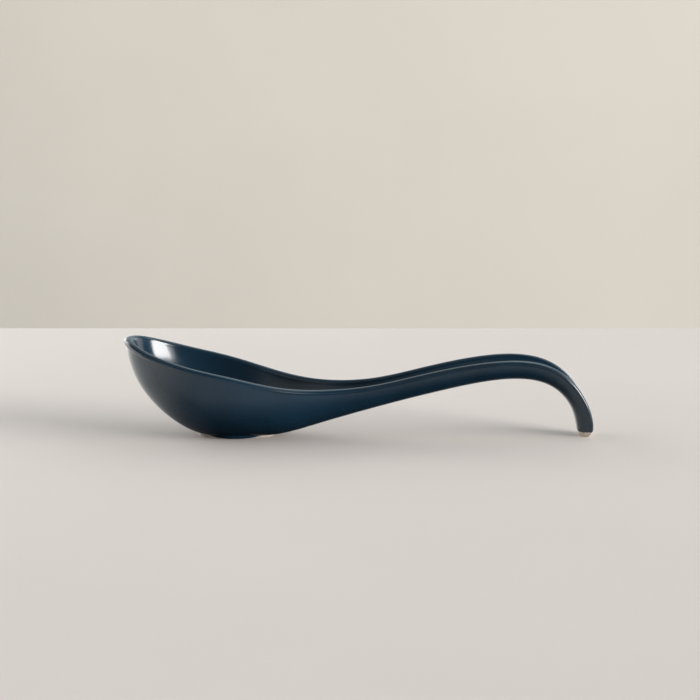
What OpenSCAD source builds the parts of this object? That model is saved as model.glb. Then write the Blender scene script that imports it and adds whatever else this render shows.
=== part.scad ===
// Chinese soup spoon: a one-piece stoneware spoon with a deep oval bowl, a channelled
// handle and a hooked end, under a dark blue glaze. The glaze leaves bare clay at the
// oval foot under the bowl and at the tip of the hook, the two places that it rests on.
// The handle runs along +X, the hook points down and the table is at z = 0. The origin
// is the middle of the foot.

/* [Bowl] */
// Length of the bowl, from its front lip to the neck
bowl_l = 70; // [60:1:85]
// Width of the bowl over its lip
bowl_w = 46; // [38:1:56]
// Height of the lip at the front of the bowl
lip_z = 34.9; // [30:0.1:42]
// Distance from the front lip back to the middle of the foot
foot_setback = 39.6; // [34:0.1:46]
// Thickness of the clay in the bowl
wall_t = 3; // [2.6:0.1:4]

/* [Lip] */
// Width of the lip that runs round the bowl and along the handle
lip_t = 2.6; // [2:0.1:3.2]
// Height of the rounded lip round the bowl, over the crease on each side of it
lip_h = 1.35; // [0.8:0.05:2]
// How far the lip rolls out over the wall at the front of the bowl
lip_roll = 1; // [0:0.1:1.4]

/* [Handle] */
// Length of the handle, from the neck to the back of the hook
handle_l = 100.5; // [85:0.5:120]
// Width of the handle behind the neck
handle_w = 16.4; // [14:0.2:20]
// Width of the handle at the hook
hook_w = 19.3; // [16:0.1:23]
// Height of the lip at the neck
neck_z = 17.1; // [14:0.1:22]
// Height that the handle climbs to before it hooks down
crest_z = 29.2; // [25:0.1:36]
// Thickness of the neck, from its lip to its underside
neck_t = 11.5; // [10:0.1:14]
// Thickness of the handle, from its lip to its underside
handle_t = 6.9; // [6:0.1:9]
// Thickness of the hook
hook_t = 5.7; // [5:0.1:7.5]
// Thickness of the tip of the hook
tip_t = 5; // [4:0.1:6]
// Depth of the channel along the handle
channel_d = 2.2; // [1:0.1:3]

/* [Foot and tip] */
// Length of the oval foot
foot_l = 27; // [20:1:32]
// Width of the oval foot
foot_w = 13; // [9:0.5:18]
// Height of the foot under the bowl
foot_h = 0.7; // [0.4:0.1:1.5]
// Height of the bare clay at the tip of the hook
bare_tip_h = 2.5; // [1.5:0.1:4]
// How far the rounded tip would reach below the table if it weren't ground flat there
grind_h = 0.5; // [0.3:0.1:2]

/* [Glaze] */
// Thickness of the glaze
glaze_t = 0.35; // [0.2:0.05:0.6]
// Bare ring that the glaze leaves round the foot
bare_ring = 0.8; // [0.2:0.1:2]

/* [Shape] */
// Fullness of the bowl's sections and of the channel: 1 is an ellipse, less is squarer
bowl_fullness = 0.85; // [0.7:0.05:1]
// Fullness of the handle's outside, which is squarer
handle_fullness = 0.63; // [0.5:0.01:0.9]
// Share of each wall that slopes straight out to the lip
flare_share = 0.2; // [0.05:0.05:0.35]

/* [Hidden] */

// Guide rows of the spoon, from the front lip to the tip of the hook. A smooth curve is
// drawn towards them. The first two rows share a place, so that the front closes in a
// round nose. The last row tapers the tip, which is ground flat where it meets the table.
X = 0;
Z = 1;
LEAN = 2;
DEPTH = 3;
HALF_W = 4;
FLOOR = 5;
RIM = 6;
LIP = 7;
ROLL = 8;
FULL = 9;

// Shares of the bowl for each of its rows: of its length from the lip, of the fall of the
// lip from its front to the neck, of the height of the underside over the foot, of half
// its width, of the lip's height and of its roll
bowl_shares = [
    [0, 0, 1, 0, 1.17, 1],
    [0, 0, 0.834, 0.287, 1.15, 0.9],
    [0.07, 0.128, 0.44, 0.786, 1.15, 0.1],
    [0.342, 0.44, -0.007, 1.013, 1, 0],
    [0.533, 0.587, 0.002, 0.978, 1, 0],
    [0.783, 0.885, -0.012, 0.807, 1, 0]
];
neck_w_share = 0.5;
neck_floor_share = 1.3;

// Shares of the handle's length from the neck for each of its rows
handle_shares = [0, 0.202, 0.396, 0.674, 0.876, 0.989, 1.004, 1];
// Turn of each section of the handle from upright, in degrees
handle_leans = [-1, -12, -15, -5.5, 27.5, 68, 88, 88];
// Shares of the channel's depth that each section of the handle has
channel_shares = [0, 1, 1, 1, 0.9, 0.5, 0.2, 0];
// Shares of the lip's height and of its width along the handle, both less at the tip
handle_lip_shares = [0.87, 0.65, 0.7, 0.67, 0.67, 0.67, 0.55, 0.2];
handle_rim_shares = [1, 1, 1, 1, 1, 1, 0.7, 0.2];
// How far each section has gone from the bowl's fullness to the handle's
handle_full_shares = [0.4, 0.75, 0.9, 1, 1, 0.9, 0.75, 0.65];
// Shares of the climb from the neck to the crest
climb_shares = [0, 0.09, 0.53, 1];
// Shares of the crest's height where the hook comes down
fall_shares = [0.92, 0.4, 0.023];
// Shares of the hook's width down to the tip
taper_shares = [0.94, 0.79, 0.57, 0.2];
// Shares of a thickness that the handle has past the neck, at its crest, in its bend and at its end
slim_t_share = 0.97;
crest_t_share = 0.87;
bend_t_share = 0.63;
end_t_share = 0.35;
// Share of the tip's thickness that its end is set back by, which rounds the tip
end_inset_share = 0.35;

lip_x = -foot_setback;
neck_x = lip_x + bowl_l;
lip_fall = lip_z - neck_z;
climb = crest_z - neck_z;

bowl_rows = [for (i = [0:len(bowl_shares) - 1])
    let (s = bowl_shares[i], rim = lip_z - s[1] * lip_fall, under = foot_h + s[2] * (lip_z - foot_h))
    [
        lip_x + s[0] * bowl_l,
        rim,
        0,
        rim - under,
        s[3] * bowl_w / 2,
        i < 2 ? lip_t : wall_t,
        lip_t,
        s[4] * lip_h,
        s[5] * lip_roll,
        bowl_fullness
    ]];

handle_z = [
    for (s = climb_shares) neck_z + s * climb,
    for (s = fall_shares) s * crest_z,
    -grind_h
];
handle_depths = [
    neck_t,
    slim_t_share * handle_t,
    handle_t,
    crest_t_share * handle_t,
    hook_t,
    bend_t_share * hook_t,
    tip_t,
    end_t_share * tip_t
];
handle_half_w = [
    neck_w_share * bowl_w / 2,
    handle_w / 2,
    handle_w / 2,
    for (s = concat([1], taper_shares)) s * hook_w / 2
];
handle_rows = [for (i = [0:len(handle_shares) - 1])
    [
        neck_x + handle_shares[i] * handle_l - (i == len(handle_shares) - 1 ? end_inset_share * tip_t : 0),
        handle_z[i],
        handle_leans[i],
        handle_depths[i],
        handle_half_w[i],
        i == 0 ? neck_floor_share * wall_t : handle_depths[i] - channel_shares[i] * channel_d,
        handle_rim_shares[i] * lip_t,
        handle_lip_shares[i] * lip_h,
        0,
        bowl_fullness + handle_full_shares[i] * (handle_fullness - bowl_fullness)
    ]];

rows = concat(bowl_rows, handle_rows);
spans = len(rows) - 3;

// Steps of a section: up the outside, over the lip and down the inside
OUT_STEPS = 9;
LIP_STEPS = 5;
IN_STEPS = 8;
half_n = OUT_STEPS + LIP_STEPS + IN_STEPS;
ring_n = 2 * half_n;
// Steps along the glazed length, gathered towards the front lip, and along the bare tip
GLAZED_STEPS = 52;
TIP_STEPS = 8;
front_bias = 1.2;
// Small step that a direction is measured over
nudge = 0.001;
// Places that the way into the clay turns between
neck_turn = [4.5, 6.5];

// Steps round the oval of the foot
FOOT_STEPS = 48;
// Share of the clay's thickness that the foot is rooted in
root_share = 0.6;
foot_root = foot_h + root_share * wall_t;
foot_opening_share = 0.75;
foot_opening_h = foot_h + foot_opening_share * wall_t;
// Overrun of the cut that opens the glaze round the foot
overrun = 2;

clay_colour = [0.80, 0.72, 0.62];
glaze_colour = [0.07, 0.13, 0.19];

function mix(a, b, f) = a * (1 - f) + b * f;
function clamp(v, low, high) = min(max(v, low), high);
function turn(v) = [-v[1], v[0]];
function unit(v) = v / norm(v);

// Point of a clamped cubic B-spline that follows the guide rows
function knot(i) = clamp(i - 3, 0, spans);
function guide(i, r, t) = r == 0 ? rows[i] :
    mix(guide(i - 1, r - 1, t), guide(i, r - 1, t), (t - knot(i)) / (knot(i + 4 - r) - knot(i)));
function section_at(t) = guide(min(floor(t), spans - 1) + 3, 3, t);

function up_of(s) = [sin(s[LEAN]), cos(s[LEAN])];
function keel_of(s) = [s[X], s[Z]] - up_of(s) * s[DEPTH];

// Ways across the lip and into the clay from the keel, measured beside t. The second turns
// at the neck, from square to the keel to the section's own up.
function lip_way(t) =
    let (
        a = section_at(max(t - nudge, 0)),
        b = section_at(min(t + nudge, spans)),
        along = unit([b[X] - a[X], a[HALF_W] - b[HALF_W], b[Z] - a[Z]]),
        up = up_of(section_at(t))
    )
    unit(cross([up[0], 0, up[1]], along));
function keel_way(t) =
    let (
        a = keel_of(section_at(max(t - nudge, 0))),
        b = keel_of(section_at(min(t + nudge, spans))),
        f = clamp((t - neck_turn[0]) / (neck_turn[1] - neck_turn[0]), 0, 1)
    )
    unit(mix(turn(unit(b - a)), up_of(section_at(t)), f));

// Point of a wall, from its lip (a = 0) to its keel (a = 90)
function wall_point(lip, keel, full, a) =
    let (
        down = pow(sin(a), full),
        out = (1 - flare_share) * pow(cos(a), full) + flare_share * (1 - down)
    )
    [mix(lip[0], keel[0], down), lip[1] * out, mix(lip[2], keel[1], down)];

// Point of the rounded lip, on an arc from where its roll meets the wall (f = 0) over the
// top to the inside (f = 1)
function lip_point(s, edge, across, up, skin, f) =
    let (
        half = s[RIM] / 2,
        meet = acos(half / (half + s[ROLL])),
        rise = s[LIP] / (1 + sin(meet)),
        a = mix(-meet, 180, f),
        side = half + (a < 90 ? s[ROLL] : 0)
    )
    edge + across * (half - (side + skin) * cos(a))
        + up * (rise * sin(meet) + (rise + skin) * sin(a));

// Half of a section from the keel up the outside, over the lip and down the inside to the
// middle. skin is how far the section stands out from the clay. What would lie below the
// table is flattened onto it, which grinds the tip flat.
function half_section(t, skin) =
    let (
        s = section_at(t),
        upright = up_of(s),
        across = lip_way(t),
        inward = keel_way(t),
        edge = [s[X], -s[HALF_W], s[Z]],
        out_lip = edge - across * skin,
        in_lip = edge + across * (s[RIM] + skin),
        out_keel = keel_of(s) - inward * skin,
        in_keel = keel_of(s) + inward * (s[FLOOR] + skin),
        side = t > 0 ? 1 : 0,
        points = [
            for (i = [OUT_STEPS:-1:0]) wall_point(out_lip, out_keel, s[FULL], 90 * i / OUT_STEPS),
            for (i = [1:LIP_STEPS - 1])
                lip_point(s, edge, across, [upright[0], 0, upright[1]], skin, i / LIP_STEPS),
            for (i = [0:IN_STEPS]) wall_point(in_lip, in_keel, bowl_fullness, 90 * i / IN_STEPS)
        ]
    )
    [for (p = points) [p[0], side * p[1], max(p[2], 0)]];

function mirrored(p) = [p[0], -p[1], p[2]];
function ring(t, skin) =
    let (half = half_section(t, skin))
    [for (j = [0:ring_n - 1]) j <= half_n ? half[j] : mirrored(half[ring_n - j])];

// At the front the first ring shrinks to the arc of its lip
function arc_step(j) = clamp(j <= half_n ? j : ring_n - j, OUT_STEPS, OUT_STEPS + LIP_STEPS);
function corner(i, j) =
    let (k = j % ring_n)
    i * ring_n + (i == 0 ? arc_step(k) : k);
function whole(f) = f[0] != f[1] && f[1] != f[2] && f[2] != f[0];
function skin_faces(last) = [
    for (i = [0:last - 1], j = [0:ring_n - 1])
        let (a = corner(i, j), b = corner(i, j + 1), c = corner(i + 1, j + 1), d = corner(i + 1, j))
        for (f = [[a, b, c], [a, c, d]]) if (whole(f)) f
];
function flipped(faces, shift) = [for (f = faces) [f[2] + shift, f[1] + shift, f[0] + shift]];

// Place along the spoon where the hook has come down to height z
function place_at(z, low, high, tries = 24) =
    let (middle = (low + high) / 2)
    tries == 0 ? middle :
    section_at(middle)[Z] > z ? place_at(z, middle, high, tries - 1) : place_at(z, low, middle, tries - 1);
glaze_end = place_at(bare_tip_h, spans - 3, spans);
glazed_places = [for (i = [0:GLAZED_STEPS]) glaze_end * pow(i / GLAZED_STEPS, front_bias)];
tip_places = [for (i = [1:TIP_STEPS]) mix(glaze_end, spans, i / TIP_STEPS)];
all_places = concat(glazed_places, tip_places);

// The spoon in clay, closed at the tip by a fan round the middle of its last ring
module clay_form() {
    points = [for (t = all_places) each ring(t, 0)];
    last = len(all_places) - 1;
    n = len(points);
    middle = (points[last * ring_n] + points[last * ring_n + half_n]) / 2;
    fan = [for (j = [0:ring_n - 1]) [last * ring_n + j, last * ring_n + (j + 1) % ring_n, n]];
    polyhedron(concat(points, [middle]), concat(skin_faces(last), fan));
}

// Coat over the clay, open at the tip: an outer skin, the clay's own skin and the edge
// between them
module glaze_sleeve() {
    outer = [for (t = glazed_places) each ring(t, glaze_t)];
    inner = [for (t = glazed_places) each ring(t, 0)];
    last = len(glazed_places) - 1;
    skin = skin_faces(last);
    n = len(outer);
    edge = [
        for (j = [0:ring_n - 1])
            let (a = last * ring_n + j, b = last * ring_n + (j + 1) % ring_n)
            for (f = [[a, b, b + n], [a, b + n, a + n]]) f
    ];
    polyhedron(concat(outer, inner), concat(skin, flipped(skin, n), edge));
}

module oval(l, w, h) {
    linear_extrude(h)
        polygon([for (i = [0:FOOT_STEPS - 1])
            let (a = 360 * i / FOOT_STEPS)
            [l / 2 * cos(a), w / 2 * sin(a)]]);
}

module stoneware_body() {
    color(clay_colour)
        union() {
            clay_form();
            oval(foot_l, foot_w, foot_root);
        }
}

module glaze_coat() {
    color(glaze_colour)
        difference() {
            glaze_sleeve();
            translate([0, 0, -overrun])
                oval(foot_l + 2 * bare_ring, foot_w + 2 * bare_ring, foot_opening_h + overrun);
        }
}

stoneware_body();
glaze_coat();
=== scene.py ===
"""A glazed stoneware soup spoon with a hooked handle, in a soft daylight studio.

The spoon is lofted from the same guide rows as its solids, with finer steps: the clay with its
ground foot and tip, and the dark blue glaze with its rounded edges, which also covers the middle
of the foot's sides. The spoon's sizes are in millimetres until a mesh is made. The stage is in
metres.
"""

import math

import bpy
import numpy as np
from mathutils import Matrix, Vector


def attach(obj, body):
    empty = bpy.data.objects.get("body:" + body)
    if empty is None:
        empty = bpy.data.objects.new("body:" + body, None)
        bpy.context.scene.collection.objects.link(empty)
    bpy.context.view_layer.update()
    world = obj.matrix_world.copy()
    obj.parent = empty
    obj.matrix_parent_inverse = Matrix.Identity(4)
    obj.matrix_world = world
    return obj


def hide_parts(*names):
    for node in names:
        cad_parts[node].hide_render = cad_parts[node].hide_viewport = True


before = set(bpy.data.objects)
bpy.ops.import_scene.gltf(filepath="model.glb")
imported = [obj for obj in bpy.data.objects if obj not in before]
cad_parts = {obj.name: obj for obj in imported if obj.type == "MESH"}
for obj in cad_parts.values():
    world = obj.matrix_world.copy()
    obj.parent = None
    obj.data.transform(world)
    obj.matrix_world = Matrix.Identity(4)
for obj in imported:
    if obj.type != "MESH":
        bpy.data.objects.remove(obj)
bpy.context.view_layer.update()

MM = 0.001

# Driving sizes of the spoon
BOWL_L = 70.0
BOWL_W = 46.0
LIP_Z = 34.9
FOOT_SETBACK = 39.6
WALL_T = 3.0
LIP_T = 2.6
LIP_H = 1.35
LIP_ROLL = 1.0
HANDLE_L = 100.5
HANDLE_W = 16.4
HOOK_W = 19.3
NECK_Z = 17.1
CREST_Z = 29.2
NECK_T = 11.5
HANDLE_T = 6.9
HOOK_T = 5.7
TIP_T = 5.0
CHANNEL_D = 2.2
FOOT_L = 27.0
FOOT_W = 13.0
FOOT_H = 0.7
BARE_TIP_H = 2.5
GRIND_H = 0.5
GLAZE_T = 0.35
FULLNESS = 0.85
HANDLE_FULLNESS = 0.63
FLARE_SHARE = 0.2

# Sizes of the scene alone: the wall at the nose and how many guide rows have it, the bead along
# the outside of the lip, and the bare ring round the foot
NOSE_T = 1.7
NOSE_ROWS = 2
BEAD = 0.25
BARE_RING = 0.3

# Shares of the bowl for each of its guide rows: of its length, of the lip's fall, of the
# underside's height over the foot, of half its width, of the lip's height and of its roll
BOWL_SHARES = (
    (0, 0, 1, 0, 1.17, 1),
    (0, 0, 0.834, 0.287, 1.15, 0.9),
    (0.07, 0.128, 0.44, 0.786, 1.15, 0.1),
    (0.342, 0.44, -0.007, 1.013, 1, 0),
    (0.533, 0.587, 0.002, 0.978, 1, 0),
    (0.783, 0.885, -0.012, 0.807, 1, 0),
)
NECK_W_SHARE = 0.5
NECK_FLOOR_SHARE = 1.3
HANDLE_SHARES = (0, 0.202, 0.396, 0.674, 0.876, 0.989, 1.004, 1)
HANDLE_LEANS = (-1, -12, -15, -5.5, 27.5, 68, 88, 88)
HANDLE_LIP_SHARES = (0.87, 0.65, 0.7, 0.67, 0.67, 0.67, 0.55, 0.2)
HANDLE_RIM_SHARES = (1, 1, 1, 1, 1, 1, 0.7, 0.2)
HANDLE_FULL_SHARES = (0.4, 0.75, 0.9, 1, 1, 0.9, 0.75, 0.65)
CHANNEL_SHARES = (0, 1, 1, 1, 0.9, 0.5, 0.2, 0)
CLIMB_SHARES = (0, 0.09, 0.53, 1)
FALL_SHARES = (0.92, 0.4, 0.023)
TAPER_SHARES = (0.94, 0.79, 0.57, 0.2)
SLIM_T_SHARE = 0.97
CREST_T_SHARE = 0.87
BEND_T_SHARE = 0.63
END_T_SHARE = 0.35
END_INSET_SHARE = 0.35

# Columns of a guide row
X, Z, LEAN, DEPTH, HALF_W, FLOOR, RIM, LIP, ROLL, FULL = range(10)


def guide_rows():
    rows = []
    fall = LIP_Z - NECK_Z
    for i, (along, drop, under, width, lip, roll) in enumerate(BOWL_SHARES):
        rim_z = LIP_Z - drop * fall
        keel_z = FOOT_H + under * (LIP_Z - FOOT_H)
        floor, rim = (NOSE_T, NOSE_T) if i < NOSE_ROWS else (WALL_T, LIP_T)
        rows.append((along * BOWL_L - FOOT_SETBACK, rim_z, 0.0, rim_z - keel_z,
                     width * BOWL_W / 2, floor, rim, lip * LIP_H, max(roll * LIP_ROLL, BEAD),
                     FULLNESS))
    heights = [NECK_Z + s * (CREST_Z - NECK_Z) for s in CLIMB_SHARES]
    heights += [s * CREST_Z for s in FALL_SHARES] + [-GRIND_H]
    depths = (NECK_T, SLIM_T_SHARE * HANDLE_T, HANDLE_T, CREST_T_SHARE * HANDLE_T, HOOK_T,
              BEND_T_SHARE * HOOK_T, TIP_T, END_T_SHARE * TIP_T)
    halves = [NECK_W_SHARE * BOWL_W / 2, HANDLE_W / 2, HANDLE_W / 2, HOOK_W / 2]
    halves += [s * HOOK_W / 2 for s in TAPER_SHARES]
    last = len(HANDLE_SHARES) - 1
    for i, along in enumerate(HANDLE_SHARES):
        x = BOWL_L - FOOT_SETBACK + along * HANDLE_L
        x -= END_INSET_SHARE * TIP_T if i == last else 0
        floor = depths[i] - CHANNEL_SHARES[i] * CHANNEL_D if i else NECK_FLOOR_SHARE * WALL_T
        full = FULLNESS + (HANDLE_FULLNESS - FULLNESS) * HANDLE_FULL_SHARES[i]
        rows.append((x, heights[i], HANDLE_LEANS[i], depths[i], halves[i], floor,
                     HANDLE_RIM_SHARES[i] * LIP_T, HANDLE_LIP_SHARES[i] * LIP_H,
                     HANDLE_RIM_SHARES[i] * BEAD, full))
    return np.array(rows)


# The rows are the control points of a cubic B-spline that is clamped at both ends
DEGREE = 3
ROWS = guide_rows()
SPANS = len(ROWS) - DEGREE
KNOTS = np.clip(np.arange(len(ROWS) + DEGREE + 1) - DEGREE, 0, SPANS).astype(float)


def section_at(t):
    """The guide row that the spline gives at each place t, from 0 at the nose to SPANS."""
    t = np.asarray(t, float)
    span = np.minimum(np.floor(t).astype(int), SPANS - 1)
    level = [ROWS[span + j] for j in range(DEGREE + 1)]
    for r in range(1, DEGREE + 1):
        for j in range(DEGREE, r - 1, -1):
            i = span + j
            f = ((t - KNOTS[i]) / (KNOTS[i + DEGREE + 1 - r] - KNOTS[i]))[..., None]
            level[j] = level[j - 1] * (1 - f) + level[j] * f
    return level[DEGREE]


def unit(v):
    return v / np.linalg.norm(v, axis=-1, keepdims=True)


def edge_and_keel(s):
    """The lip's edge and the keel of a section, and its way up."""
    lean = np.radians(s[..., LEAN])
    up = np.stack([np.sin(lean), 0 * lean, np.cos(lean)], -1)
    edge = np.stack([s[..., X], -s[..., HALF_W], s[..., Z]], -1)
    return edge, edge * (1, 0, 1) - up * s[..., DEPTH:DEPTH + 1], up


# Step along the spoon that gives the direction of its edge and keel
NUDGE = 1e-3
# Places that the way into the clay turns between, from square to the keel to the section's up
BLEND_FROM, BLEND_TO = 4.5, 6.5


def ways_at(t):
    """At each place t: the section, its lip edge and keel, and the ways up, across the lip and
    into the clay at the keel."""
    t = np.asarray(t, float)
    s = section_at(t)
    edge, keel, up = edge_and_keel(s)
    edge_a, keel_a, _ = edge_and_keel(section_at(np.maximum(t - NUDGE, 0)))
    edge_b, keel_b, _ = edge_and_keel(section_at(np.minimum(t + NUDGE, SPANS)))
    across = unit(np.cross(up, unit(edge_b - edge_a)))
    run = unit(keel_b - keel_a)
    square = np.stack([-run[..., 2], 0 * run[..., 0], run[..., 0]], -1)
    f = np.clip((t - BLEND_FROM) / (BLEND_TO - BLEND_FROM), 0, 1)[..., None]
    inward = unit(square * (1 - f) + up * f)
    return s, edge, keel, up, across, inward


# Steps of half a section: up the outside, over the lip and down the inside
OUT_STEPS = 44
LIP_STEPS = 14
IN_STEPS = 36
LIP_FIRST = OUT_STEPS
LIP_LAST = OUT_STEPS + LIP_STEPS
HALF_N = OUT_STEPS + LIP_STEPS + IN_STEPS
RING_N = 2 * HALF_N
# How much closer the steps of a wall come towards the lip
WALL_BIAS = 1.7
# Steps on each side of the lip's creases that are softened
CREASE_REACH = 3


def wall_angle(share):
    """Angle down a wall: 0 at the lip, where share is 0, and a right angle at the keel."""
    return math.pi / 2 * share ** WALL_BIAS


def wall(lip, keel, full, a):
    """Point of a wall between the lip and the keel at the angle a."""
    down = (np.sin(a) ** full)[..., None]
    out = (1 - FLARE_SHARE) * abs(np.cos(a)) ** full + FLARE_SHARE * (1 - down[..., 0])
    point = lip * (1 - down) + keel * down
    point[..., 1] = lip[..., 1] * out
    return point


def half_section(t, skin):
    """Half of the section at each place t, grown by skin on every side."""
    s, edge, keel, up, across, inward = ways_at(t)
    out_lip = edge - across * skin
    in_lip = edge + across * (s[..., RIM:RIM + 1] + skin)
    out_keel = keel - inward * skin
    in_keel = keel + inward * (s[..., FLOOR:FLOOR + 1] + skin)
    points = [wall(out_lip, out_keel, s[..., FULL], wall_angle(i / OUT_STEPS))
              for i in range(OUT_STEPS, -1, -1)]
    r = s[..., RIM] / 2
    roll = s[..., ROLL]
    meet = np.arccos(r / (r + roll))
    rise = s[..., LIP] / (1 + np.sin(meet))
    for i in range(1, LIP_STEPS):
        a = -meet + (math.pi + meet) * i / LIP_STEPS
        side = r + np.where(a < math.pi / 2, roll, 0)
        lateral = r - (side + skin) * np.cos(a)
        height = rise * np.sin(meet) + (rise + skin) * np.sin(a)
        points.append(edge + across * lateral[..., None] + up * height[..., None])
    points += [wall(in_lip, in_keel, FULLNESS, wall_angle(i / IN_STEPS))
               for i in range(IN_STEPS + 1)]
    return np.stack(points, 1)


def soften_creases(half):
    """Rounds the creases on each side of the lip, as a thick glaze does."""
    smooth = half.copy()
    for crease in (LIP_FIRST, LIP_LAST):
        first, last = crease - CREASE_REACH, crease + CREASE_REACH
        neighbours = half[:, first - 1:last] + half[:, first + 1:last + 2]
        smooth[:, first:last + 1] = half[:, first:last + 1] / 2 + neighbours / 4
    return smooth


def rings(t, skin):
    """Closed rings at each place t, one row of points for each, cut off at the table."""
    half = soften_creases(half_section(t, skin))
    half[..., 2] = np.maximum(half[..., 2], 0)
    half[t <= 0, :, 1] = 0
    other = half[:, HALF_N - 1:0:-1] * (1, -1, 1)
    return np.concatenate([half, other], 1)


def corner(i, j):
    """Number of a point in the rings. The first ring shrinks to the arc of its lip."""
    j %= RING_N
    if i == 0:
        j = min(max(min(j, RING_N - j), LIP_FIRST), LIP_LAST)
    return i * RING_N + j


def add_face(faces, face):
    """Adds a face without its repeated corners, unless it has shrunk to a line."""
    face = [v for n, v in enumerate(face) if v != face[n - 1]]
    if len(face) > 2:
        faces.append(face)


def skin_faces(last):
    """Faces between the rings, up to ring number last."""
    faces = []
    for i in range(last):
        for j in range(RING_N):
            add_face(faces, [corner(i, j), corner(i, j + 1), corner(i + 1, j + 1),
                             corner(i + 1, j)])
    return faces


def make_mesh(name, points, faces):
    """Object of the points that its faces use, in metres, smooth all over."""
    points = np.asarray(points, float).reshape(-1, 3)
    used = np.unique(np.concatenate([np.asarray(f) for f in faces]))
    place = np.zeros(len(points), int)
    place[used] = np.arange(len(used))
    faces = [[int(place[v]) for v in reversed(f)] for f in faces]
    mesh = bpy.data.meshes.new(name)
    mesh.from_pydata((points[used] * MM).tolist(), [], faces)
    mesh.validate()
    mesh.update()
    mesh.shade_smooth()
    piece = bpy.data.objects.new(name, mesh)
    bpy.context.scene.collection.objects.link(piece)
    return piece


HALVINGS = 40


def place_at(z, low, high):
    """Place along the spoon where the hook has come down to height z."""
    for _ in range(HALVINGS):
        middle = (low + high) / 2
        if section_at(middle)[Z] > z:
            low = middle
        else:
            high = middle
    return middle


# Places of the rings, closer together towards the nose, and then to the end of the bare tip
GLAZED_STEPS = 210
TIP_STEPS = 14
FRONT_BIAS = 1.2
GLAZE_END = place_at(BARE_TIP_H, SPANS - DEGREE, SPANS)
GLAZED = GLAZE_END * (np.arange(GLAZED_STEPS + 1) / GLAZED_STEPS) ** FRONT_BIAS
TIP = GLAZE_END + (SPANS - GLAZE_END) * np.arange(1, TIP_STEPS + 1) / TIP_STEPS

OVAL_STEPS = 96


def oval_solid(name, loops):
    """Closed solid through stacked ovals, each given by its length, width and height."""
    a = 2 * math.pi * np.arange(OVAL_STEPS) / OVAL_STEPS
    points = [np.stack([length / 2 * np.cos(a), width / 2 * np.sin(a), 0 * a + z], -1)
              for length, width, z in loops]
    faces = []
    for i in range(len(loops) - 1):
        low, high = i * OVAL_STEPS, (i + 1) * OVAL_STEPS
        for j in range(OVAL_STEPS):
            k = (j + 1) % OVAL_STEPS
            faces.append([low + j, high + j, high + k, low + k])
    faces.append(list(range(OVAL_STEPS)))
    faces.append([(len(loops) - 1) * OVAL_STEPS + j for j in range(OVAL_STEPS)][::-1])
    return make_mesh(name, np.concatenate(points), faces)


def foot_oval(wider, z):
    """The foot's oval, made longer and wider by so much, at a height."""
    return FOOT_L + wider, FOOT_W + wider, z


def combine(piece, tool, operation):
    """Applies a Boolean of tool to piece and deletes tool."""
    modifier = piece.modifiers.new("cut", "BOOLEAN")
    modifier.operation = operation
    modifier.solver = "EXACT"
    modifier.object = tool
    bpy.context.view_layer.update()
    depsgraph = bpy.context.evaluated_depsgraph_get()
    mesh = bpy.data.meshes.new_from_object(piece.evaluated_get(depsgraph))
    piece.modifiers.clear()
    old = piece.data
    piece.data = mesh
    mesh.name = piece.name
    bpy.data.meshes.remove(old)
    tool_mesh = tool.data
    bpy.data.objects.remove(tool)
    bpy.data.meshes.remove(tool_mesh)


# The foot's worn edge, and how far the foot reaches up into the wall, as a share of it
FOOT_EDGE = 0.25
FOOT_ROOT_SHARE = 0.6


def make_clay():
    t = np.concatenate([GLAZED, TIP])
    points = rings(t, 0.0)
    last = len(t) - 1
    middle = (points[last, 0] + points[last, HALF_N]) / 2
    hub = len(t) * RING_N
    faces = skin_faces(last)
    faces += [[last * RING_N + j, last * RING_N + (j + 1) % RING_N, hub] for j in range(RING_N)]
    clay = make_mesh("clay", np.concatenate([points.reshape(-1, 3), [middle]]), faces)
    foot = [foot_oval(-2 * FOOT_EDGE, 0.0), foot_oval(-0.6 * FOOT_EDGE, 0.3 * FOOT_EDGE),
            foot_oval(0.0, FOOT_EDGE), foot_oval(0.0, FOOT_H + FOOT_ROOT_SHARE * WALL_T)]
    combine(clay, oval_solid("foot", foot), "UNION")
    return clay


# How far the glaze's inner side lies under the clay's skin, and the round edge above the bare tip
UNDERLAP = 0.05
EDGE_STEPS = 6
EDGE_BULGE = 0.03
# The opening round the foot: its height below and above the table, how much wider and narrower
# it is there, and how far it reaches up into the wall, as a share of it
OPENING_Z = 1.0
OPENING_FLARE = 1.0
OPENING_TAPER = 0.6
OPENING_SHARE = 0.75
# The glaze over the middle of the foot's long sides: its oval, and for each height its length's
# share
COVER_L = 26.2
COVER_W = 14.2
COVER_SHAPE = ((0.62, 0.1), (0.76, 0.2), (0.86, 0.4), (0.93, 0.7), (0.98, 1.1), (1.0, 1.7))


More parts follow.
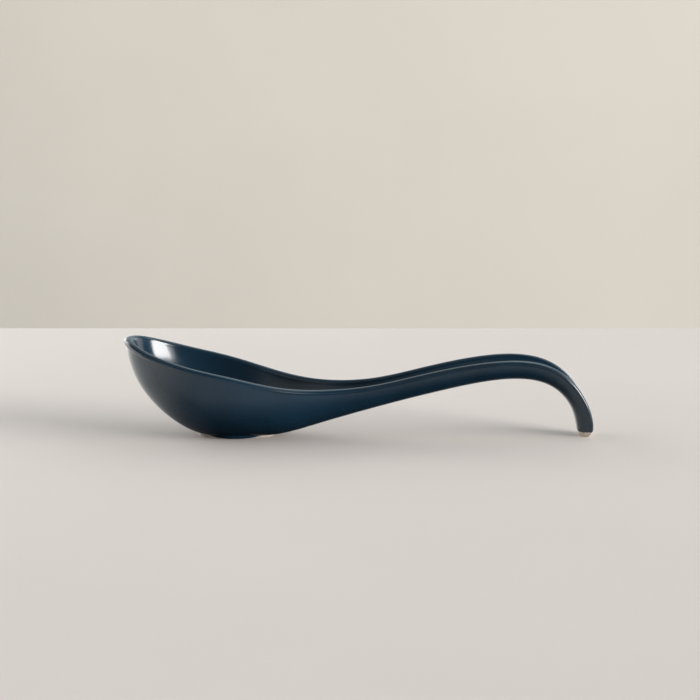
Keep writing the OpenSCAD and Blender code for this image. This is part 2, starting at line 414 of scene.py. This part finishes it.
def make_glaze():
    """Glass over the clay: its outside, and an inner side just under the clay's skin, joined by a
    round edge above the bare tip. It is cut open round the foot, and covers the middle of the
    foot's long sides."""
    thick = GLAZE_T + UNDERLAP
    outer = rings(GLAZED, GLAZE_T)
    inner = rings(GLAZED[::-1], -UNDERLAP)
    edge = []
    for i in range(1, EDGE_STEPS):
        a = math.pi * i / EDGE_STEPS
        place = np.array([GLAZE_END + EDGE_BULGE * math.sin(a)])
        edge.append(rings(place, GLAZE_T - thick / 2 * (1 - math.cos(a))))
    points = np.concatenate([outer] + edge + [inner[:-1]])
    # the inner side closes at its own arc of the lip
    last = len(points) - 1
    arc = len(points) * RING_N
    points = np.concatenate([points.reshape(-1, 3), inner[-1]])
    faces = skin_faces(last)
    for j in range(RING_N):
        k = (j + 1) % RING_N
        add_face(faces, [last * RING_N + j, last * RING_N + k, arc + corner(0, k),
                         arc + corner(0, j)])
    glaze = make_mesh("glaze", points, faces)
    ring = 2 * BARE_RING
    top = FOOT_H + OPENING_SHARE * WALL_T
    opening = [foot_oval(ring + OPENING_FLARE, -OPENING_Z), foot_oval(ring, OPENING_Z),
               foot_oval(ring - OPENING_TAPER, top)]
    combine(glaze, oval_solid("opening", opening), "DIFFERENCE")
    # dark glaze over the middle of the foot's long sides
    run = [(share * COVER_L, COVER_W, z) for share, z in COVER_SHAPE]
    combine(glaze, oval_solid("run", run), "UNION")
    core = [foot_oval(-2 * UNDERLAP, z) for z in (-OPENING_Z, top)]
    combine(glaze, oval_solid("core", core), "DIFFERENCE")
    return glaze


def srgb(r, g, b):
    """Linear colour of 8-bit values as they look on a screen."""
    return tuple(((v / 255 + 0.055) / 1.055) ** 2.4 for v in (r, g, b)) + (1.0,)


def new_material(name):
    material = bpy.data.materials.new(name)
    material.use_nodes = True
    nodes = material.node_tree.nodes
    return material, nodes, material.node_tree.links, nodes["Principled BSDF"]


def noise(nodes, links, scale, detail=4.0, roughness=0.5):
    place = nodes.new("ShaderNodeTexCoord")
    texture = nodes.new("ShaderNodeTexNoise")
    texture.inputs["Scale"].default_value = scale
    texture.inputs["Detail"].default_value = detail
    texture.inputs["Roughness"].default_value = roughness
    links.new(place.outputs["Object"], texture.inputs["Vector"])
    return texture.outputs["Fac"]


def ramp(nodes, links, value, stops):
    node = nodes.new("ShaderNodeValToRGB")
    ends = node.color_ramp.elements
    for element, (position, colour) in zip((ends[0], ends[1]), (stops[0], stops[-1])):
        element.position = position
        element.color = colour
    for position, colour in stops[1:-1]:
        node.color_ramp.elements.new(position).color = colour
    links.new(value, node.inputs["Fac"])
    return node.outputs["Color"]


def bump(nodes, links, value, distance):
    node = nodes.new("ShaderNodeBump")
    node.inputs["Distance"].default_value = distance
    node.inputs["Strength"].default_value = 1.0
    links.new(value, node.inputs["Height"])
    return node.outputs["Normal"]


def span(nodes, links, value, low, high):
    """0 to 1 as value goes from low to high."""
    node = nodes.new("ShaderNodeMapRange")
    node.inputs["From Min"].default_value = low
    node.inputs["From Max"].default_value = high
    links.new(value, node.inputs["Value"])
    return node.outputs["Result"]


def between(nodes, links, value, low, high):
    """low to high as value goes from 0 to 1."""
    node = nodes.new("ShaderNodeMapRange")
    node.inputs["To Min"].default_value = low
    node.inputs["To Max"].default_value = high
    links.new(value, node.inputs["Value"])
    return node.outputs["Result"]


def math_node(nodes, links, operation, a, b):
    node = nodes.new("ShaderNodeMath")
    node.operation = operation
    for socket, value in zip(node.inputs, (a, b)):
        if isinstance(value, float):
            socket.default_value = value
        else:
            links.new(value, socket)
    return node.outputs["Value"]


def mix_colour(nodes, links, factor, a, b):
    node = nodes.new("ShaderNodeMix")
    node.data_type = "RGBA"
    links.new(factor, node.inputs["Factor"])
    # the node has a pair of inputs and an output for each type, and these are the colour's
    for socket, colour in zip(node.inputs[6:8], (a, b)):
        if isinstance(colour, tuple):
            socket.default_value = colour
        else:
            links.new(colour, socket)
    return node.outputs[2]


def glaze_material():
    material, nodes, links, shader = new_material("navy_glaze")
    cloud = noise(nodes, links, scale=60.0, detail=3.0)
    stops = [(0.3, srgb(13, 33, 46)), (0.7, srgb(18, 41, 56))]
    links.new(ramp(nodes, links, cloud, stops), shader.inputs["Base Color"])
    gloss = between(nodes, links, noise(nodes, links, scale=220.0), 0.15, 0.2)
    links.new(gloss, shader.inputs["Roughness"])
    shader.inputs["IOR"].default_value = 1.52
    ripple = noise(nodes, links, scale=160.0, detail=2.0)
    links.new(bump(nodes, links, ripple, 0.00004), shader.inputs["Normal"])
    return material


def clay_material():
    material, nodes, links, shader = new_material("bare_clay")
    grain = noise(nodes, links, scale=1400.0, detail=6.0, roughness=0.7)
    stops = [(0.35, srgb(165, 152, 141)), (0.65, srgb(198, 186, 174))]
    links.new(ramp(nodes, links, grain, stops), shader.inputs["Base Color"])
    shader.inputs["Roughness"].default_value = 0.8
    links.new(bump(nodes, links, grain, 0.00008), shader.inputs["Normal"])
    return material


clay = make_clay()
clay.data.materials.append(clay_material())
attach(clay, "root")
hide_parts("stoneware_body")

glaze = make_glaze()
glaze.data.materials.append(glaze_material())
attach(glaze, "root")
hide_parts("glaze_coat")

TABLE_CORNERS = ((-1.2, -1.0, 0), (-1.2, 0.257, 0), (1.3, 0.257, 0), (1.3, -1.0, 0))
TABLE_COLOUR = srgb(222, 212, 206)
TABLE_ROUGHNESS = 0.85
WALL_CORNERS = ((-2.0, 1.6, -1), (-2.0, 1.6, 2.0), (2.0, 1.6, 2.0), (2.0, 1.6, -1))
WALL_COLOUR = srgb(187, 181, 171)
WALL_ROUGHNESS = 0.9
WALL_GLOW = 0.2
# Scale of the soft clouds in both, and how much paler they are
CLOUD_SCALE = 6.0
CLOUD_PALER = 1.04

# The table as the spoon sees it, in painted light and shade: its colour before the spoon and at
# the spoon's ends, and how much of it a painted shadow under and behind the spoon leaves, by its
# y
PAINTED_MIRROR_COLOUR = (0.63, 0.64, 0.67, 1)
PAINTED_MIRROR_ENDS_COLOUR = (0.70, 0.67, 0.63, 1)
PAINTED_SHADOW_SHARES = ((-0.036, 1.0), (-0.030, 0.6), (-0.024, 0.3), (-0.017, 0.03), (0.0, 0.01),
            (0.011, 0.2), (0.05, 0.4))
# The x where the spoon's ends begin and are full, where the painted shadow gives way, and the
# same for a painted glow from the table that lights the spoon's ends in place of the room's light
LEFT_END = (-0.006, -0.042)
RIGHT_END = (0.110, 0.115)
LEFT_PAINTED_GLOW = (-0.025, -0.08)
RIGHT_PAINTED_GLOW_SHARE = 0.25
PAINTED_GLOW_COLOUR = (0.70, 0.67, 0.62, 1)
BLACK = (0, 0, 0, 1)


def stage_plane(name, corners, colour, roughness):
    """Flat piece of the stage, with its nodes, links, shader and clouded colour."""
    piece = make_mesh(name, np.array(corners) / MM, [[0, 1, 2, 3]])
    material, nodes, links, shader = new_material(name)
    pale = tuple(c * CLOUD_PALER for c in colour[:3]) + (1,)
    shade = ramp(nodes, links, noise(nodes, links, CLOUD_SCALE), [(0.3, colour), (0.7, pale)])
    links.new(shade, shader.inputs["Base Color"])
    shader.inputs["Roughness"].default_value = roughness
    piece.data.materials.append(material)
    return piece, nodes, links, shader, shade


def paint_table_shadow_and_glow(nodes, links, shader, shade):
    """Painted shade and light on the table for every ray but the camera's: a painted shadow
    darkens it under and behind the spoon, and a painted glow from it lights the spoon beyond its
    left and right ends. The camera sees the plain colour."""
    place = nodes.new("ShaderNodeTexCoord")
    split = nodes.new("ShaderNodeSeparateXYZ")
    links.new(place.outputs["Object"], split.inputs["Vector"])
    x, y = split.outputs["X"], split.outputs["Y"]
    low, high = PAINTED_SHADOW_SHARES[0][0], PAINTED_SHADOW_SHARES[-1][0]
    stops = [((at - low) / (high - low), (share, share, share, 1)) for at, share in PAINTED_SHADOW_SHARES]
    # painted shadow: the table goes dark under and behind the spoon, by its y
    front = ramp(nodes, links, span(nodes, links, y, low, high), stops)
    left = span(nodes, links, x, *LEFT_END)
    right = span(nodes, links, x, *RIGHT_END)
    ends = math_node(nodes, links, "MAXIMUM", left, right)
    left_over = math_node(nodes, links, "MAXIMUM", front, ends)
    # how far the painted shadow darkens the table, which the spoon's ends lift
    painted_shadow = math_node(nodes, links, "SUBTRACT", 1.0, left_over)
    path = nodes.new("ShaderNodeLightPath")
    bounced = math_node(nodes, links, "SUBTRACT", 1.0, path.outputs["Is Camera Ray"])
    # painted reflection colour: the table as the spoon sees it, cooler than the camera sees it
    top = mix_colour(nodes, links, ends, PAINTED_MIRROR_COLOUR, PAINTED_MIRROR_ENDS_COLOUR)
    seen = mix_colour(nodes, links, painted_shadow, top, BLACK)
    links.new(mix_colour(nodes, links, bounced, shade, seen), shader.inputs["Base Color"])
    # painted glow: the table gives off light to the spoon beyond its left and right ends
    right_glow = math_node(nodes, links, "MULTIPLY", right, RIGHT_PAINTED_GLOW_SHARE)
    glow = math_node(nodes, links, "MAXIMUM", span(nodes, links, x, *LEFT_PAINTED_GLOW), right_glow)
    lit = math_node(nodes, links, "MULTIPLY", glow, bounced)
    links.new(lit, shader.inputs["Emission Strength"])
    shader.inputs["Emission Color"].default_value = PAINTED_GLOW_COLOUR


def make_stage():
    _, *table = stage_plane("table", TABLE_CORNERS, TABLE_COLOUR, TABLE_ROUGHNESS)
    # the table's painted shadow and glow, seen by every ray but the camera's
    paint_table_shadow_and_glow(*table)
    piece, _, links, shader, shade = stage_plane("wall", WALL_CORNERS, WALL_COLOUR,
                                                 WALL_ROUGHNESS)
    links.new(shade, shader.inputs["Emission Color"])
    shader.inputs["Emission Strength"].default_value = WALL_GLOW
    piece.visible_glossy = False


make_stage()

# Soft lights of the room around the spoon. Each has its direction in degrees, from straight
# behind the spoon towards its right and up from the table, its distance in metres, the angles
# that it takes up across and upright, its radiance and its colour.
PANELS = (
    ("window", 111, 10, 4.0, 35, 24, 22.5, (1.0, 0.99, 0.98)),
    ("window_side", 131, 10, 4.1, 12, 22, 4.0, (0.97, 0.99, 1.0)),
    ("right", 72, 30, 3.4, 40, 20, 1.6, (0.9, 0.98, 1.0)),
    ("ceiling", 55, 52, 3.5, 75, 30, 0.8, (0.88, 0.98, 1.0)),
    ("left_wall", -67, 20, 1.2, 78, 38, 2.5, (0.98, 0.99, 1.0)),
    ("back", 5, 21, 1.45, 66, 46, 0.58, (0.82, 0.98, 1.05)),
    ("low_right", 42, -2, 1.5, 40, 16, 1.2, (1.0, 0.98, 0.95)),
    ("low_left", -22, 6, 1.5, 12, 14, 2.6, (1.0, 1.0, 0.97)),
    ("room", -128, 22, 1.5, 50, 44, 0.5, (0.95, 1.0, 1.0)),
    ("top", -90, 74, 1.7, 80, 40, 0.22, (0.85, 1.0, 1.05)),
)


def panel(name, azimuth, elevation, distance, across, tall, radiance, colour):
    turn, rise = math.radians(azimuth), math.radians(elevation)
    way = Vector((math.sin(turn) * math.cos(rise), math.cos(turn) * math.cos(rise),
                  math.sin(rise)))
    data = bpy.data.lights.new(name, "AREA")
    data.shape = "RECTANGLE"
    data.size = 2 * distance * math.tan(math.radians(across / 2))
    data.size_y = 2 * distance * math.tan(math.radians(tall / 2))
    data.energy = radiance * math.pi * data.size * data.size_y
    data.color = colour
    light = bpy.data.objects.new(name, data)
    light.location = way * distance
    light.rotation_euler = (-way).to_track_quat("-Z", "Y").to_euler()
    light.visible_camera = False
    bpy.context.scene.collection.objects.link(light)


for row in PANELS:
    panel(*row)

# The world is a faint light on the spoon, and a pale wall where the camera sees it
ROOM_COLOUR = srgb(222, 228, 234)
ROOM_STRENGTH = 0.07
BACKDROP_COLOUR = srgb(212, 207, 196)
BACKDROP_STRENGTH = 1.0


def make_world():
    world = bpy.data.worlds.new("studio")
    world.use_nodes = True
    nodes = world.node_tree.nodes
    links = world.node_tree.links
    background = nodes["Background"]
    camera_ray = nodes.new("ShaderNodeLightPath").outputs["Is Camera Ray"]
    strength = between(nodes, links, camera_ray, ROOM_STRENGTH, BACKDROP_STRENGTH)
    colour = mix_colour(nodes, links, camera_ray, ROOM_COLOUR, BACKDROP_COLOUR)
    links.new(colour, background.inputs["Color"])
    links.new(strength, background.inputs["Strength"])
    bpy.context.scene.world = world


make_world()
bpy.context.scene.view_settings.view_transform = "Standard"

# Camera at the photograph's angle: how high it looks from, how far and at what point, and how
# many pixels a millimetre takes there
ELEVATION = math.radians(9.6)
DISTANCE = 621.0
AIM = (41.92, 0.0, 32.0)
PIXELS_PER_MM = 2.72
IMAGE = 700.0
SENSOR = 36.0
CLIP_START = 0.01

camera_data = bpy.data.cameras.new("camera")
camera_data.sensor_width = SENSOR
camera_data.lens = PIXELS_PER_MM * DISTANCE / IMAGE * SENSOR
camera_data.clip_start = CLIP_START
camera = bpy.data.objects.new("camera", camera_data)
camera.location = Vector((AIM[0], -DISTANCE * math.cos(ELEVATION),
                          AIM[2] + DISTANCE * math.sin(ELEVATION))) * MM
camera.rotation_euler = (math.pi / 2 - ELEVATION, 0, 0)
bpy.context.scene.collection.objects.link(camera)
bpy.context.scene.camera = camera
